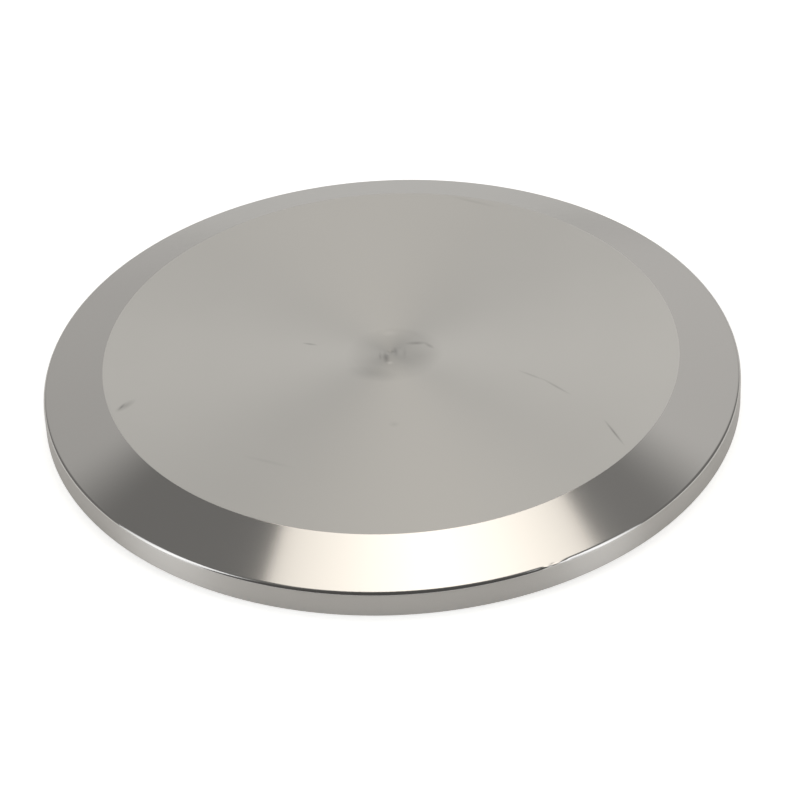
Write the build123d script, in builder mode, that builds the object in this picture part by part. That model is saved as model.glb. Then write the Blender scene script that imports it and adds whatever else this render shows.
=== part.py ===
"""Solid end cap for a 3 inch hygienic clamp joint, turned from one piece of stainless steel.

The cap is a blank flange. Its flat underside seals against a ferrule of the same flange size,
with the bead of a ring gasket lying in a groove near the rim. A straight rim stands round the
edge, and above it a 20 degree taper, which the two halves of a clamp pull down on, rises to a
flat round land on the outside.

Frame: the origin is the centre of the sealing face, +Z points along the axis to the land, and
all sizes are in millimetres and degrees.
"""

from build123d import *

import os
from math import radians, sqrt, tan

# Flange
flange_diameter = 91.0  # across the straight rim
cap_thickness = 6.35  # from the sealing face to the land
rim_height = 3.45  # from the sealing face to where the taper would meet the rim
taper_angle = 20.0  # between the taper and the sealing face

# Broken edges
rim_edge_radius = 0.6  # rounded, between the rim and the taper
land_edge_radius = 0.4  # rounded, between the taper and the land
face_edge_chamfer = 0.15  # between the sealing face and the rim

# Gasket groove in the sealing face, a shallow ring of round section
groove_inset = 3.75  # from the rim inwards to the groove's centre line
groove_radius = 2.4  # of the round section
groove_depth = 1.6
groove_lip_chamfer = 0.2

# Mark left in the middle of each faced side, where the facing cut ran out
pip_diameter = 1.2
pip_depth = 0.08

flange_radius = flange_diameter / 2
land_radius = flange_radius - (cap_thickness - rim_height) / tan(radians(taper_angle))
groove_centre_radius = flange_radius - groove_inset
groove_centre_height = groove_depth - groove_radius
groove_half_width = sqrt(groove_radius**2 - groove_centre_height**2)
pip_radius = pip_diameter / 2


def corner_at(section: BuildSketch, radius: float, height: float) -> Vertex:
    """The corner of the half section nearest to a point on it."""
    return section.vertices().sort_by_distance(Vector(radius, height, 0))[0]


with BuildPart() as end_cap:
    # Half section, with the radius along X and the height along Y
    with BuildSketch(Plane.XZ) as half_section:
        with BuildLine():
            Polyline(
                (0, 0),
                (flange_radius, 0),
                (flange_radius, rim_height),
                (land_radius, cap_thickness),
                (0, cap_thickness),
                close=True,
            )
        make_face()

        # The gasket groove, a round cutter that dips into the sealing face
        with Locations((groove_centre_radius, groove_centre_height)):
            Circle(groove_radius, mode=Mode.SUBTRACT)
        inner_lip = corner_at(half_section, groove_centre_radius - groove_half_width, 0)
        outer_lip = corner_at(half_section, groove_centre_radius + groove_half_width, 0)
        chamfer([inner_lip, outer_lip], groove_lip_chamfer)

        # The broken edges of the flange
        chamfer(corner_at(half_section, flange_radius, 0), face_edge_chamfer)
        fillet(corner_at(half_section, flange_radius, rim_height), rim_edge_radius)
        fillet(corner_at(half_section, land_radius, cap_thickness), land_edge_radius)
    revolve(axis=Axis.Z)

    # A shallow cone in the middle of the land and of the sealing face
    with Locations((0, 0, cap_thickness - pip_depth / 2)):
        Cone(0, pip_radius, pip_depth, mode=Mode.SUBTRACT)
    with Locations((0, 0, pip_depth / 2)):
        Cone(pip_radius, 0, pip_depth, mode=Mode.SUBTRACT)

end_cap.part.label = "end_cap"

os.makedirs("parts", exist_ok=True)
export_step(end_cap.part, "parts/end_cap.step")
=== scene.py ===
"""A solid end cap for a hygienic clamp joint, in turned stainless steel, on a white table.

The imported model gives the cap's diameter and thickness. The classes below build its turned
form with every edge finely rounded, give each of its faces the finish that the lathe left
there, and set up the studio that it stands in. Sizes are in millimetres where a name or a
comment says so, and otherwise in metres.
"""

import logging
import math
from dataclasses import dataclass, field
from enum import Enum
from typing import Any

import bpy
from mathutils import Matrix, Vector


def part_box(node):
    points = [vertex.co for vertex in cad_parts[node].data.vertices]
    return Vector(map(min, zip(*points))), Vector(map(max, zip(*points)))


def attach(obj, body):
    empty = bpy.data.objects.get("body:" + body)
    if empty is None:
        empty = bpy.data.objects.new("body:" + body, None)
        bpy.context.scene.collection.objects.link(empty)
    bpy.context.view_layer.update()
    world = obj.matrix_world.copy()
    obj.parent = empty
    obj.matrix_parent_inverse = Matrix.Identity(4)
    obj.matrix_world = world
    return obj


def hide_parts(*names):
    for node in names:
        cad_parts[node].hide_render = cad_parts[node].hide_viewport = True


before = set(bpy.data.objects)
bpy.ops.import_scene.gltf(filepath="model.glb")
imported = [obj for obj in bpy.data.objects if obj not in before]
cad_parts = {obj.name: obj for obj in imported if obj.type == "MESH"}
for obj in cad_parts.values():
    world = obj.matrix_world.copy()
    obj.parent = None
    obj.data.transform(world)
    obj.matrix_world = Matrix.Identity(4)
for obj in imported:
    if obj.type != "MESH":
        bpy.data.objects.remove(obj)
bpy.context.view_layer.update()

log = logging.getLogger("end_cap")

MM = 0.001

# Node settings that come up often
MULTIPLY = {"operation": "MULTIPLY"}
MULTIPLY_ADD = {"operation": "MULTIPLY_ADD"}
ABSOLUTE = {"operation": "ABSOLUTE"}
SMOOTH = {"interpolation_type": "SMOOTHSTEP"}
NUMBERS = {"data_type": "FLOAT"}


# Colour and nodes


def linear(hex_colour: str) -> tuple[float, float, float, float]:
    """Turns an sRGB hex colour into the linear colour that a shader socket takes.

    Args:
        hex_colour: Six hex digits after a hash sign.

    Returns:
        Linear red, green and blue, and an alpha of 1.
    """
    channels = [int(hex_colour[i : i + 2], 16) / 255 for i in (1, 3, 5)]
    toned = [c / 12.92 if c <= 0.04045 else ((c + 0.055) / 1.055) ** 2.4 for c in channels]
    return (*toned, 1.0)


def add_node(
    tree: bpy.types.NodeTree,
    kind: str,
    settings: dict[str, Any] | None = None,
    **inputs: Any,
) -> bpy.types.Node:
    """Adds a node, with its settings, its socket values and the links into it.

    Args:
        tree: The node tree that takes the node.
        kind: The node's type, without the ShaderNode in front.
        settings: Properties of the node.
        inputs: Values by socket name, with underscores for spaces, or by socket number after
            the letter i. An output socket of another node is linked, and so is the first
            output of a node.

    Returns:
        The new node.
    """
    node = tree.nodes.new("ShaderNode" + kind)
    for name, value in (settings or {}).items():
        setattr(node, name, value)
    for name, value in inputs.items():
        by_number = name[0] == "i" and name[1:].isdigit()
        socket = node.inputs[int(name[1:]) if by_number else name.replace("_", " ")]
        if isinstance(value, bpy.types.Node):
            value = value.outputs[0]
        if isinstance(value, bpy.types.NodeSocket):
            tree.links.new(value, socket)
        else:
            socket.default_value = value
    return node


# The turned form


class EdgeBreak(Enum):
    """How the lathe leaves a corner of the section."""

    SHARP = "sharp"
    ROUNDED = "rounded"
    BEVELLED = "bevelled"


@dataclass(frozen=True)
class Corner:
    """A corner of the half section, in millimetres.

    Attributes:
        radius: Distance from the turning axis.
        height: Height above the sealing face.
        edge: How the corner is broken.
        size: Radius of a rounded corner, or length that a bevelled one takes off each side.
    """

    radius: float
    height: float
    edge: EdgeBreak = EdgeBreak.SHARP
    size: float = 0.0

    @property
    def place(self) -> Vector:
        """The corner as a point of the section plane."""
        return Vector((self.radius, self.height))

    def outline(self, before: Vector, after: Vector, steps: int) -> list[Vector]:
        """The points that the section runs through at this corner.

        Args:
            before: The section's corner before this one.
            after: The section's corner after this one.
            steps: Straight steps in a rounded corner.

        Returns:
            One point, the two ends of a bevel, or a run of points along an arc.
        """
        if self.edge is EdgeBreak.SHARP:
            return [self.place]
        back = (before - self.place).normalized()
        on = (after - self.place).normalized()
        half_angle = back.angle(on) / 2
        if self.edge is EdgeBreak.BEVELLED:
            return [self.place + back * self.size, self.place + on * self.size]
        middle = self.place + (back + on).normalized() * (self.size / math.sin(half_angle))
        turn = math.pi - 2 * half_angle
        start = self.place + back * (self.size / math.tan(half_angle)) - middle
        sense = math.copysign(1.0, back.x * on.y - back.y * on.x)
        points = []
        for step in range(steps + 1):
            angle = -sense * turn * step / steps
            points.append(middle + Matrix.Rotation(angle, 2) @ start)
        return points


class Face(Enum):
    """The cap's faces, each with a finish of its own, by the number of its material slot."""

    LAND = 0
    TAPER = 1
    RIM = 2
    SEALING = 3


@dataclass(frozen=True)
class Nick:
    """A knock on the rim edge: a small dent, with the metal that it pushed up beside it.

    Its lengths are in millimetres. A place across the edge is measured down the rim, and is
    negative up the taper.

    Attributes:
        heading: Where it is, in degrees from the front to the right.
        half_length: How far it runs to either side along the edge.
        dent: Depth of the dent.
        dent_across: Where the dent lies across the edge.
        dent_width: Half the width of the dent.
        dent_length: Half the length of the dent along the edge.
        burr: Height of the burr, which stands on the rim side of the dent.
        burr_width: Half the width of the burr.
        raggedness: Share of its height by which the burr rises and falls.
        ragged_rate: How fast it rises and falls along the edge, in radians per millimetre.
    """

    heading: float = 24.2
    half_length: float = 1.6
    dent: float = 0.05
    dent_across: float = -0.22
    dent_width: float = 0.1
    dent_length: float = 0.6
    burr: float = 0.12
    burr_width: float = 0.23
    raggedness: float = 0.2
    ragged_rate: float = 4.0

    def push(self, along: float, across: float) -> float:
        """How far the metal stands out from the edge.

        Args:
            along: Distance from the middle of the knock along the edge.
            across: Distance across the edge.

        Returns:
            Millimetres outwards, or inwards where negative.
        """
        ends = math.exp(-((along / self.half_length) ** 4))
        off_dent = math.hypot(
            (across - self.dent_across) / self.dent_width, along / self.dent_length
        )
        dented = -self.dent * math.exp(-(off_dent**2))
        raised = self.burr * math.exp(-((across / self.burr_width) ** 2))
        ragged = 1 + self.raggedness * math.sin(self.ragged_rate * along)
        return ends * (dented + raised * ragged)


@dataclass
class EndCap:
    """The cap, turned from one bar of stainless steel. Sizes are in millimetres.

    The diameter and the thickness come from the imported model, and the other sizes are those
    of a 3 inch clamp flange. The land is faced a hair lower round its middle.

    Attributes:
        rim_height: From the sealing face to where the taper would meet the rim.
        taper_degrees: Between the taper and the sealing face.
        rim_edge_radius: Of the rounded edge between the rim and the taper.
        land_edge_radius: Of the rounded edge between the taper and the land.
        face_edge_chamfer: Between the sealing face and the rim.
        groove_inset: From the rim inwards to the middle of the gasket groove.
        groove_radius: Of the groove's round section.
        groove_depth: Below the sealing face.
        groove_lip_chamfer: On either lip of the groove.
        pip_radius: Of the mark that the facing tool leaves in the middle.
        pip_depth: Of that mark.
        pip_edge_radius: Of the rounding where it runs out.
        dish_radii: Of the lower middle of the land, where it is flat and where it ends.
        dish_depth: Of the lower middle.
        dish_edge_radius: Of the rounding at either end of its slope.
        nick: The knock on the rim edge.
        nick_reach: How far the knock moves metal to either side of the edge's middle, as a
            share of the edge's radius.
        edge_setback: How far the edge's middle lies inside the sharp corner along the radius
            and along the axis, as a share of the edge's radius.
        segments: Copies of the section round the cap, outside the nick.
        nick_segments: Copies of the section along the nick.
        arc_steps: Straight steps in a rounded corner.
        groove_steps: Straight steps across the groove.
        hold: From a corner to the ring that keeps the flat beside it flat.
        radius: Of the rim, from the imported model.
        thickness: From the sealing face to the land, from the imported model.
    """

    rim_height: float = 3.45
    taper_degrees: float = 20.0
    rim_edge_radius: float = 0.6
    land_edge_radius: float = 0.4
    face_edge_chamfer: float = 0.15
    groove_inset: float = 3.75
    groove_radius: float = 2.4
    groove_depth: float = 1.6
    groove_lip_chamfer: float = 0.2
    pip_radius: float = 0.6
    pip_depth: float = 0.08
    pip_edge_radius: float = 0.5
    dish_radii: tuple[float, float] = (4.9, 5.6)
    dish_depth: float = 0.012
    dish_edge_radius: float = 6.0
    nick: Nick = Nick()
    nick_reach: float = 0.6
    edge_setback: float = 0.25
    segments: int = 840
    nick_segments: int = 60
    arc_steps: int = 8
    groove_steps: int = 16
    hold: float = 0.03
    radius: float = field(init=False)
    thickness: float = field(init=False)

    def __post_init__(self) -> None:
        """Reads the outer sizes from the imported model."""
        low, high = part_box("end_cap")
        self.radius = min(high.x, -low.x, high.y, -low.y) / MM
        self.thickness = high.z / MM

    @property
    def land_radius(self) -> float:
        """Radius at which the taper meets the land."""
        rise = self.thickness - self.rim_height
        return self.radius - rise / math.tan(math.radians(self.taper_degrees))

    def outer_side(self) -> list[Vector]:
        """Section from the middle of the land, down the taper and the rim, to the sealing face."""
        top = self.thickness
        dish = top - self.dish_depth
        dish_flat, dish_end = self.dish_radii
        corners = [
            Corner(0, dish - self.pip_depth),
            Corner(self.pip_radius, dish, EdgeBreak.ROUNDED, self.pip_edge_radius),
            Corner(dish_flat, dish, EdgeBreak.ROUNDED, self.dish_edge_radius),
            Corner(dish_end, top, EdgeBreak.ROUNDED, self.dish_edge_radius),
            Corner(self.land_radius, top, EdgeBreak.ROUNDED, self.land_edge_radius),
            Corner(self.radius, self.rim_height, EdgeBreak.ROUNDED, self.rim_edge_radius),
            Corner(self.radius, 0, EdgeBreak.BEVELLED, self.face_edge_chamfer),
            Corner(self.radius - self.groove_inset, 0),
        ]
        return self.section(corners)

    def groove(self) -> list[Vector]:
        """Section across the gasket groove, from its outer lip to its inner one."""
        middle = Vector((self.radius - self.groove_inset, self.groove_depth - self.groove_radius))
        half_width = math.sqrt(self.groove_radius**2 - middle.y**2)
        lip = self.groove_lip_chamfer
        low_angle = math.atan2(-middle.y, half_width) + lip / self.groove_radius
        arc = []
        for step in range(self.groove_steps + 1):
            angle = low_angle + (math.pi - 2 * low_angle) * step / self.groove_steps
            arc.append(middle + self.groove_radius * Vector((math.cos(angle), math.sin(angle))))
        outer_lip = Vector((middle.x + half_width + lip, 0))
        inner_lip = Vector((middle.x - half_width - lip, 0))
        return [outer_lip, *arc, inner_lip]

    def inner_side(self) -> list[Vector]:
        """Section from the groove to the middle of the sealing face."""
        corners = [
            Corner(self.radius - self.groove_inset, 0),
            Corner(self.pip_radius, 0, EdgeBreak.ROUNDED, self.pip_edge_radius),
            Corner(0, self.pip_depth),
        ]
        return self.section(corners)

    def section(self, corners: list[Corner]) -> list[Vector]:
        """Joins corners into one run of points, with a ring close to each end of a flat.

        Args:
            corners: The corners in order. The first and the last are taken as they are.

        Returns:
            Points of the section plane.
        """
        places = [corner.place for corner in corners]
        points = [places[0]]
        for before, corner, after in zip(places, corners[1:], places[2:]):
            outline = corner.outline(before, after, self.arc_steps)
            points.append(outline[0] + (before - outline[0]).normalized() * self.hold)
            points.extend(outline)
            points.append(outline[-1] + (after - outline[-1]).normalized() * self.hold)
        points.append(places[-1])
        return points

    def half_section(self) -> list[Vector]:
        """The whole half section, from the middle of the land to that of the sealing face."""
        groove = self.groove()
        outer = self.outer_side()[:-1]
        inner = self.inner_side()[1:]
        outer_flat = groove[0] + Vector((self.hold, 0))
        inner_flat = groove[-1] - Vector((self.hold, 0))
        return [*outer, outer_flat, *groove, inner_flat, *inner]

    def face_at(self, first: Vector, second: Vector) -> Face:
        """The face that a step of the section belongs to.

        Args:
            first: One end of the step.
            second: Its other end.

        Returns:
            The face. The rounded rim edge counts as taper, apart from its start at the rim.
        """
        middle = (first + second) / 2
        if middle.x > self.radius - self.hold and middle.y > self.face_edge_chamfer:
            return Face.RIM
        if middle.y < self.thickness / 2:
            return Face.SEALING
        return Face.LAND if middle.x < self.land_radius else Face.TAPER

    def turns(self) -> list[float]:
        """Angles of the section's copies round the axis, closer together at the nick."""
        middle = math.radians(self.nick.heading)
        span = 2 * self.nick.half_length / self.radius
        fine = [middle + span * (2 * i / self.nick_segments - 1) for i in range(self.nick_segments)]
        rest = 2 * math.pi - 2 * span
        coarse = [middle + span + rest * i / self.segments for i in range(self.segments)]
        return fine + coarse

    def placed(self, point: Vector, turn: float) -> Vector:
        """A point of the section at one turn of it, with the nick pushed in.

        Args:
            point: The point of the section plane, in millimetres.
            turn: Angle from the front to the right, in radians.

        Returns:
            The point on the cap, in metres.
        """
        setback = self.edge_setback * self.rim_edge_radius
        edge = Vector((self.radius - setback, self.rim_height - setback))
        outwards = Vector((1, 1)).normalized()
        down_rim = Vector((1, -1)).normalized()
        along = (turn - math.radians(self.nick.heading)) * self.radius
        across = (point - edge).dot(down_rim)
        reach = self.nick_reach * self.rim_edge_radius
        if abs(across) < reach and abs(along) < 2 * self.nick.half_length:
            share = 1 - (across / reach) ** 2
            point = point + outwards * self.nick.push(along, across) * share
        radius = min(point.x, self.radius)
        return Vector((radius * math.sin(turn), -radius * math.cos(turn), point.y)) * MM

    def build(self) -> bpy.types.Object:
        """Turns the section about the axis into one closed mesh.

        Returns:
            The cap, in metres, with its place in its mesh.
        """
        section = self.half_section()
        turns = self.turns()
        count = len(turns)
        vertices = [Vector((0, 0, section[0].y)) * MM]
        for point in section[1:-1]:
            vertices.extend(self.placed(point, turn) for turn in turns)
        last = len(vertices)
        vertices.append(Vector((0, 0, section[-1].y)) * MM)

        around = [(i, (i + 1) % count) for i in range(count)]
        faces: list[tuple[int, ...]] = [(0, 1 + i, 1 + j) for i, j in around]
        slots = [Face.LAND.value] * count
        for step, (first, second) in enumerate(zip(section[1:-2], section[2:-1])):
            here, there = 1 + step * count, 1 + (step + 1) * count
            faces.extend((here + i, there + i, there + j, here + j) for i, j in around)
            slots.extend([self.face_at(first, second).value] * count)
        inmost = last - count
        faces.extend((inmost + i, last, inmost + j) for i, j in around)
        slots.extend([Face.SEALING.value] * count)

        mesh = bpy.data.meshes.new("end_cap_steel")
        mesh.from_pydata(vertices, [], faces)
        mesh.polygons.foreach_set("material_index", slots)
        mesh.polygons.foreach_set("use_smooth", [True] * len(faces))
        mesh.update()
        cap = bpy.data.objects.new("end_cap_steel", mesh)
        bpy.context.scene.collection.objects.link(cap)
        return cap

    def dress(self, cap: bpy.types.Object) -> None:
        """Gives each face of the cap its finish, in the order of the slots."""
        for face in Face:
            cap.data.materials.append(FINISHES[face].material())


# Finishes


@dataclass(frozen=True)
class Mark:
    """A scratch, scuff, stain or patch of painted shade: an oval patch that is strongest in its
    middle.

    Attributes:
        right: Its middle, in millimetres to the right of the axis.
        back: Its middle, in millimetres behind the axis.
        length: Its long side, in millimetres.
        width: Its short side, in millimetres.
        turn: Direction of its long side, in degrees from the right towards the back.
        darkening: Share of the reflection that it takes away in its middle.
    """

    right: float
    back: float
    length: float
    width: float
    turn: float
    darkening: float

    def shade(self, tree: bpy.types.NodeTree, place: bpy.types.NodeSocket) -> bpy.types.Node:
        """Adds the nodes that give its darkening.

        Args:
            tree: The node tree of the face's material.
            place: The place on the cap, in metres.

        Returns:
            The node with the share of the reflection that the mark takes away there.
        """
        oval = add_node(
            tree,
            "Mapping",
            {"vector_type": "TEXTURE"},
            Vector=place,
            Location=(self.right * MM, self.back * MM, 0),
            Rotation=(0, 0, math.radians(self.turn)),
            Scale=(self.length * MM / 2, self.width * MM / 2, 1.0),
        )
        patch = add_node(tree, "TexGradient", {"gradient_type": "SPHERICAL"}, Vector=oval)
        return add_node(tree, "Math", MULTIPLY, i0=patch.outputs["Fac"], i1=self.darkening)


# What handling left on the land, and painted shade at its middle, each by its right, back, length,
# width, turn and darkening
LAND_MARKS_AND_SHADE = (
    # Painted shade at the middle, where the rings' reflection fans out dark from the axis, over a
    # burnished patch, with a lobe to the front left
    Mark(0.5, -0.3, 13.0, 12.0, 15, 0.26),
    Mark(-2.5, -4.4, 7.5, 3.4, -20, 0.12),
    Mark(3.8, -1.0, 6.0, 5.0, 10, 0.08),
    # A hooked scratch on the right of it
    Mark(3.5, 1.9, 3.2, 0.9, -2, 0.26),
    Mark(5.1, 1.2, 2.1, 0.7, -48, 0.22),
    # Short strokes at the middle, each fainter than the one before
    Mark(-0.6, -1.1, 3.2, 1.0, -85, 0.26),
    Mark(0.7, 0.3, 2.2, 0.7, -84, 0.18),
    Mark(-1.35, -0.6, 2.2, 0.5, -88, 0.16),
    Mark(1.85, -0.2, 3.0, 0.7, 88, 0.08),
    # Lighter spots in that darker patch
    Mark(-0.2, -2.15, 1.2, 0.8, 0, -0.22),
    Mark(0.0, 4.4, 2.8, 1.5, 0, -0.08),
    # A tick to the left, and a scuff near the left edge
    Mark(-10.45, 2.9, 2.4, 0.5, -18, 0.30),
    Mark(-34.3, -8.5, 3.8, 1.3, 45, 0.24),
    Mark(-34.8, -8.7, 2.0, 0.5, 60, 0.30),
    # A straight scratch and a bent one on the right
    Mark(27.6, -19.5, 6.4, 0.42, -69, 0.42),
    Mark(18.0, -6.5, 4.8, 0.45, -37, 0.20),
    Mark(21.0, -9.2, 5.8, 0.45, -48, 0.26),
    # Faint smears behind, in front, and to the front left
    Mark(12.6, 34.4, 8.0, 0.8, -28, 0.10),
    Mark(0.0, -15.4, 1.6, 1.3, 0, 0.09),
    Mark(-16.0, -21.8, 8.0, 0.8, -25, 0.07),
)

# Polished steel never gets quite as bright as glass at a glancing angle
EDGE_ON = "#d4d4d4"

# Turns the spread of a reflection from along the tool's rings to across them
QUARTER_TURN = 0.25


@dataclass(frozen=True)
class TurnedSteel:
    """Stainless steel as the lathe left it, after a light polish.

    The tool leaves rings round the axis. They spread a reflection outwards and not round the
    axis, so a lamp shows as a streak that runs from the middle to the edge.

    Attributes:
        name: What the finish is.
        colour: sRGB colour of the bare metal.
        roughness: Micro-roughness, 0 for a mirror.
        anisotropy: How much more the rings spread light than the metal between them.
        ring_mm: Spacing of the rings that can be seen one by one.
        ring_height: Height of those rings, in millimetres.
        stain: How far the roughness wanders over the face.
        marks: What has marked the face, and painted shade on it.
        cloud_mm: Size of the clouds in which the roughness wanders.
    """

    name: str
    colour: str
    roughness: float
    anisotropy: float
    ring_mm: float
    ring_height: float
    stain: float
    marks: tuple[Mark, ...] = ()
    cloud_mm: float = 9.0

    def material(self) -> bpy.types.Material:
        """Makes the material, with its rings centred on the turning axis."""
        material = bpy.data.materials.new(self.name)
        material.use_nodes = True
        tree = material.node_tree
        tree.nodes.clear()

        place = add_node(tree, "TexCoord").outputs["Object"]
        parts = add_node(tree, "SeparateXYZ", Vector=place).outputs
        flat = add_node(tree, "CombineXYZ", X=parts["X"], Y=parts["Y"])
        radius = add_node(tree, "VectorMath", {"operation": "LENGTH"}, i0=flat).outputs["Value"]
        # Height counts as well, so that the rings go on down the taper and the rim
        travel = add_node(tree, "Math", {"operation": "SUBTRACT"}, i0=radius, i1=parts["Z"])
        spacing = self.ring_mm * MM
        ring_count = add_node(tree, "Math", {"operation": "DIVIDE"}, i0=travel, i1=spacing)
        heading = add_node(tree, "VectorMath", {"operation": "NORMALIZE"}, i0=flat)
        lift = add_node(tree, "CombineXYZ", Z=ring_count)
        ring_place = add_node(tree, "VectorMath", i0=heading, i1=lift)
        rings = add_node(tree, "TexNoise", Vector=ring_place, Scale=1.0, Detail=2.0)
        height = self.ring_height * MM
        bump = add_node(tree, "Bump", Strength=1.0, Distance=height, Height=rings)

        cloud = add_node(tree, "TexNoise", Vector=place, Scale=1 / (self.cloud_mm * MM), Detail=3.0)
        least = self.roughness - self.stain / 2
        wander = add_node(tree, "Math", MULTIPLY_ADD, i0=cloud, i1=self.stain, i2=least)
        tangent = add_node(tree, "Tangent", {"direction_type": "RADIAL", "axis": "Z"})

        metal = add_node(
            tree,
            "BsdfPrincipled",
            Base_Color=linear(self.colour),
            Metallic=1.0,
            Roughness=wander,
            Specular_Tint=linear(EDGE_ON),
            Anisotropic=self.anisotropy,
            Anisotropic_Rotation=QUARTER_TURN,
            Normal=bump,
            Tangent=tangent,
        )
        # The marks darken the bare colour: scratches, smears and stains, and on the land also
        # painted shade at its middle
        if self.marks:
            left: float | bpy.types.Node = 1.0
            for mark in self.marks:
                shade = mark.shade(tree, place)
                left = add_node(tree, "Math", {"operation": "SUBTRACT"}, i0=left, i1=shade)
            bare = linear(self.colour)[:3]
            marked = add_node(tree, "VectorMath", {"operation": "SCALE"}, i0=bare, Scale=left)
            tree.links.new(marked.outputs[0], metal.inputs["Base Color"])
        add_node(tree, "OutputMaterial", Surface=metal)
        return material


FINISHES = {
    # Faced, then rubbed down by hand: satin, with soft streaks out from the middle
    Face.LAND: TurnedSteel(
        name="faced_satin_steel",
        colour="#b6b4b0",
        roughness=0.32,
        anisotropy=0.70,
        ring_mm=0.35,
        ring_height=0.0006,
        stain=0.04,
        # Scratches and smears from handling, and painted shade at the middle of the land
        marks=LAND_MARKS_AND_SHADE,
    ),
    # Turned with a fine finishing cut: close to a mirror, with hair-fine rings
    Face.TAPER: TurnedSteel(
        name="fine_turned_steel",
        colour="#aeaca9",
        roughness=0.12,
        anisotropy=0.70,
        ring_mm=0.25,
        ring_height=0.0002,
        stain=0.02,
    ),
    # Turned to size and not polished: duller, with rings that show
    Face.RIM: TurnedSteel(
        name="rim_turned_steel",
        colour="#b6b3af",
        roughness=0.375,
        anisotropy=1.0,
        ring_mm=0.25,
        ring_height=0.0008,
        stain=0.03,
    ),
    # Lapped flat to seal: smoother and brighter than the land
    Face.SEALING: TurnedSteel(
        name="lapped_steel",
        colour="#bcb9b4",
        roughness=0.22,
        anisotropy=0.50,
        ring_mm=0.30,
        ring_height=0.0004,
        stain=0.03,
    ),
}


# The studio


@dataclass(frozen=True)
class Softbox:
    """A soft lamp: a lit sheet of cloth that fades a little from its middle to its sides.

    Attributes:
        name: Which lamp it is.
        place: The middle of its cloth, in metres.
        tip: How far it is tipped up from facing straight down, in degrees.
        heading: Where it stands as seen from the cap, in degrees from the camera to the right.
        width: Its level side, in metres.
        depth: Its other side, in metres.
        radiance: How bright its middle is, where 1 shows as white.
        fade: Share of the brightness lost at the two ends of its width.
        colour: sRGB colour of its light.
        fade_power: How late the fade sets in on the way from the middle: 1 is an even fade.
    """

    name: str
    place: tuple[float, float, float]
    tip: float
    heading: float
    width: float
    depth: float
    radiance: float
    fade: float
    colour: str
    fade_power: float = 1.2

    def build(self) -> None:
        """Hangs the lamp."""
        lamp = bpy.data.lights.new(self.name, "AREA")
        lamp.shape = "RECTANGLE"
        lamp.size, lamp.size_y = self.width, self.depth
        lamp.energy = math.pi * self.radiance * self.width * self.depth
        lamp.color = linear(self.colour)[:3]
        lamp.use_nodes = True
        tree = lamp.node_tree
        tree.nodes.clear()
        cloth = add_node(tree, "NewGeometry").outputs["Parametric"]
        along = add_node(tree, "SeparateXYZ", Vector=cloth).outputs["X"]
        off_middle = add_node(tree, "Math", MULTIPLY_ADD, i0=along, i1=2.0, i2=-1.0)
        distance = add_node(tree, "Math", ABSOLUTE, i0=off_middle)
        fall = add_node(tree, "Math", {"operation": "POWER"}, i0=distance, i1=self.fade_power)
        light = add_node(tree, "Math", MULTIPLY_ADD, i0=fall, i1=-self.fade, i2=1.0)
        glow = add_node(tree, "Emission", Strength=light)
        add_node(tree, "OutputLight", Surface=glow)

        holder = bpy.data.objects.new(self.name, lamp)
        turned = Matrix.Rotation(math.radians(self.heading), 4, "Z")
        tipped = Matrix.Rotation(math.radians(self.tip), 4, "X")
        holder.matrix_world = Matrix.Translation(self.place) @ turned @ tipped
        holder.visible_camera = False
        bpy.context.scene.collection.objects.link(holder)


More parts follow.
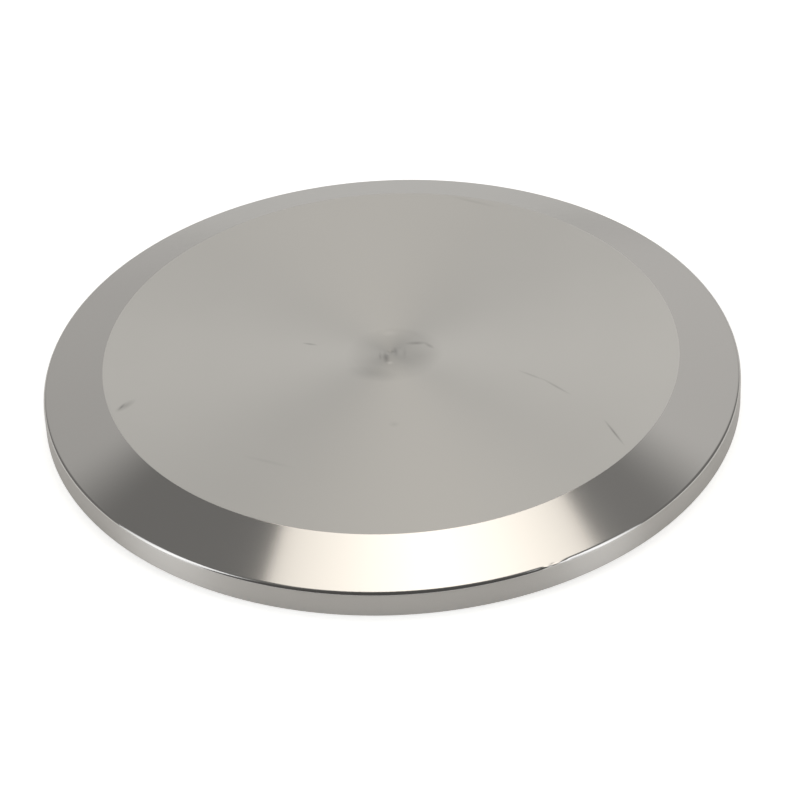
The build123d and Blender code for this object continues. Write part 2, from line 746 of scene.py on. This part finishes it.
@dataclass(frozen=True)
class Studio:
    """A white table in a white room that is darker overhead and where the camera stands.

    The room is far away and shows only in the metal, so a place in it is a direction, given
    by its steps to the right, to the back and up. A light of 1 shows as white.

    Attributes:
        floor_half_width: Half the side of the table top, in metres.
        floor_lift: Light that brings the table up to plain white.
        wall: Light from the middle of the wall behind.
        wall_lean: How much brighter that wall is on its right, and darker on its left.
        lean_reach: Steps to the side at which the lean is full.
        wall_fall: How much that wall darkens with the square of the steps to the side.
        side_wall: Light from the side walls.
        side_edge: Steps to the side where the wall behind ends and a side wall begins.
        ceiling: Light from the ceiling.
        ceiling_lean: Share of the wall's lean that the ceiling has.
        ceiling_drop: How much lower the ceiling hangs for each step to the left.
        ceiling_edge: Steps up where the walls end and the ceiling begins.
        camera_side: Light from behind the camera.
        camera_edge: Steps back where that darkness is full and where it ends.
        camera_curve: How far the darkness draws back for each step to the side.
        skirting: Light from the strip of wall just above the table.
        skirting_edge: Steps up where the strip is full and where it ends.
        softboxes: The lamps.
    """

    floor_half_width: float = 30.0
    floor_lift: float = 0.52
    wall: float = 1.08
    wall_lean: float = 0.085
    lean_reach: float = 0.14
    wall_fall: float = 0.9
    side_wall: float = 0.30
    side_edge: tuple[float, float] = (0.58, 0.75)
    ceiling: float = 0.345
    ceiling_lean: float = 0.35
    ceiling_drop: float = 0.11
    ceiling_edge: tuple[float, float] = (0.65, 0.80)
    camera_side: float = 0.15
    camera_edge: tuple[float, float] = (-0.35, 0.0)
    camera_curve: float = 0.35
    skirting: float = 1.02
    skirting_edge: tuple[float, float] = (0.03, 0.12)
    softboxes: tuple[Softbox, ...] = (
        Softbox(
            name="overhead",
            place=(0.078, 0.285, 1.2),
            tip=0.0,
            heading=0.0,
            width=0.822,
            depth=0.62,
            radiance=2.648,
            fade=0.43,
            colour="#fff9f0",
        ),
        Softbox(
            name="left_side",
            place=(-1.15, -0.32, 0.6),
            tip=62.0,
            heading=-74.5,
            width=0.76,
            depth=1.15,
            radiance=2.292,
            fade=0.5,
            colour="#f8fbff",
        ),
        Softbox(
            name="right_side",
            place=(1.06, -0.57, 0.6),
            tip=62.0,
            heading=61.5,
            width=0.62,
            depth=1.15,
            radiance=2.292,
            fade=0.5,
            colour="#f8fbff",
        ),
    )

    def build(self) -> None:
        """Sets up the table, the room and the lamps."""
        self.build_floor()
        self.build_room()
        for softbox in self.softboxes:
            softbox.build()

    def build_floor(self) -> None:
        """Lays the white table top, which takes the cap's shadow."""
        reach = self.floor_half_width
        sides = [(-reach, -reach, 0), (reach, -reach, 0), (reach, reach, 0), (-reach, reach, 0)]
        mesh = bpy.data.meshes.new("table_top")
        mesh.from_pydata(sides, [], [(0, 1, 2, 3)])
        table = bpy.data.objects.new("table_top", mesh)
        bpy.context.scene.collection.objects.link(table)

        # Matt white card: it lightens to plain white for the eye and for reflections alike
        material = bpy.data.materials.new("matt_white_card")
        material.use_nodes = True
        tree = material.node_tree
        tree.nodes.clear()
        card = add_node(tree, "BsdfDiffuse", Color=linear("#f2f2f0"))
        rays = add_node(tree, "LightPath").outputs
        seen = add_node(tree, "Math", i0=rays["Is Camera Ray"], i1=rays["Is Glossy Ray"])
        seen = add_node(tree, "Math", i0=seen, i1=rays["Is Transmission Ray"])
        lift = add_node(tree, "Math", MULTIPLY, i0=seen, i1=self.floor_lift)
        glow = add_node(tree, "Emission", Color=linear("#ffffff"), Strength=lift)
        both = add_node(tree, "AddShader", i0=card, i1=glow)
        add_node(tree, "OutputMaterial", Surface=both)
        mesh.materials.append(material)

    def build_room(self) -> None:
        """Lights the room: white walls, a grey ceiling and a dark place for the camera."""
        world = bpy.data.worlds.new("room")
        world.use_nodes = True
        tree = world.node_tree
        tree.nodes.clear()
        way = add_node(tree, "TexCoord").outputs["Generated"]
        x, y, z = add_node(tree, "SeparateXYZ", Vector=way).outputs

        # The wall behind is a little brighter to the right, and the side walls are grey
        lean = add_node(
            tree,
            "MapRange",
            SMOOTH,
            Value=x,
            From_Min=-self.lean_reach,
            From_Max=self.lean_reach,
            To_Min=-self.wall_lean,
            To_Max=self.wall_lean,
        )
        squared = add_node(tree, "Math", MULTIPLY, i0=x, i1=x)
        wall = add_node(tree, "Math", MULTIPLY_ADD, i0=squared, i1=-self.wall_fall, i2=self.wall)
        wall = add_node(tree, "Math", i0=wall, i1=lean)
        sideways = add_node(tree, "Math", ABSOLUTE, i0=x)
        start, end = self.side_edge
        beside = add_node(tree, "MapRange", SMOOTH, Value=sideways, From_Min=start, From_Max=end)
        walls = add_node(tree, "Mix", NUMBERS, i0=beside, i2=wall, i3=self.side_wall)

        # The ceiling hangs lower on the left
        left = add_node(tree, "Math", {"operation": "MINIMUM"}, i0=x, i1=0.0)
        level = add_node(tree, "Math", MULTIPLY_ADD, i0=left, i1=-self.ceiling_drop, i2=z)
        start, end = self.ceiling_edge
        above = add_node(tree, "MapRange", SMOOTH, Value=level, From_Min=start, From_Max=end)
        ceiling = add_node(
            tree, "Math", MULTIPLY_ADD, i0=lean, i1=self.ceiling_lean, i2=self.ceiling
        )
        light = add_node(tree, "Mix", NUMBERS, i0=above, i2=walls, i3=ceiling)

        # Behind the camera it is dark, but for a white strip of wall above the table
        back = add_node(tree, "Math", MULTIPLY_ADD, i0=sideways, i1=self.camera_curve, i2=y)
        end, start = self.camera_edge
        behind = add_node(tree, "MapRange", SMOOTH, Value=back, From_Min=start, From_Max=end)
        light = add_node(tree, "Mix", NUMBERS, i0=behind, i2=light, i3=self.camera_side)
        end, start = self.skirting_edge
        low = add_node(tree, "MapRange", SMOOTH, Value=z, From_Min=start, From_Max=end)
        light = add_node(tree, "Mix", NUMBERS, i0=low, i2=light, i3=self.skirting)
        glow = add_node(tree, "Background", Color=linear("#fffefc"), Strength=light)
        add_node(tree, "OutputWorld", Surface=glow)
        bpy.context.scene.world = world


@dataclass(frozen=True)
class Viewpoint:
    """The camera, which looks down on the cap through a long lens from the front.

    Attributes:
        distance: From the middle of the sealing face, in metres.
        elevation: Height of the line of sight above the table, in degrees.
        lens: Focal length in millimetres on a 36 mm sensor.
        roll: Tilt of the horizon, in degrees.
        pan: Small turn to the side, in degrees.
        tilt: Small turn up or down, in degrees.
    """

    distance: float = 0.4719
    elevation: float = 36.618
    lens: float = 161.79
    roll: float = 3.003
    pan: float = 0.1132
    tilt: float = 0.1339

    def build(self) -> None:
        """Sets up the camera and makes it the scene's own."""
        data = bpy.data.cameras.new("camera")
        data.sensor_width = 36.0
        data.lens = self.lens
        data.clip_start, data.clip_end = 0.01, 100.0
        camera = bpy.data.objects.new("camera", data)
        rise = math.radians(self.elevation)
        place = Vector((0, -math.cos(rise), math.sin(rise))) * self.distance
        facing = (
            Matrix.Rotation(math.pi / 2 - rise, 3, "X")
            @ Matrix.Rotation(math.radians(-self.pan), 3, "Y")
            @ Matrix.Rotation(math.radians(-self.tilt), 3, "X")
            @ Matrix.Rotation(math.radians(-self.roll), 3, "Z")
        )
        camera.matrix_world = Matrix.Translation(place) @ facing.to_4x4()
        bpy.context.scene.collection.objects.link(camera)
        bpy.context.scene.camera = camera


def main() -> None:
    """Builds the camera, the cap and the studio."""
    logging.basicConfig(level=logging.INFO)
    bpy.context.scene.view_settings.view_transform = "Standard"
    Viewpoint().build()

    cap = EndCap()
    piece = cap.build()
    cap.dress(piece)
    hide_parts("end_cap")
    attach(piece, "root")
    log.info("%s: %d faces", piece.name, len(piece.data.polygons))

    Studio().build()


if __name__ == "__main__":
    main()
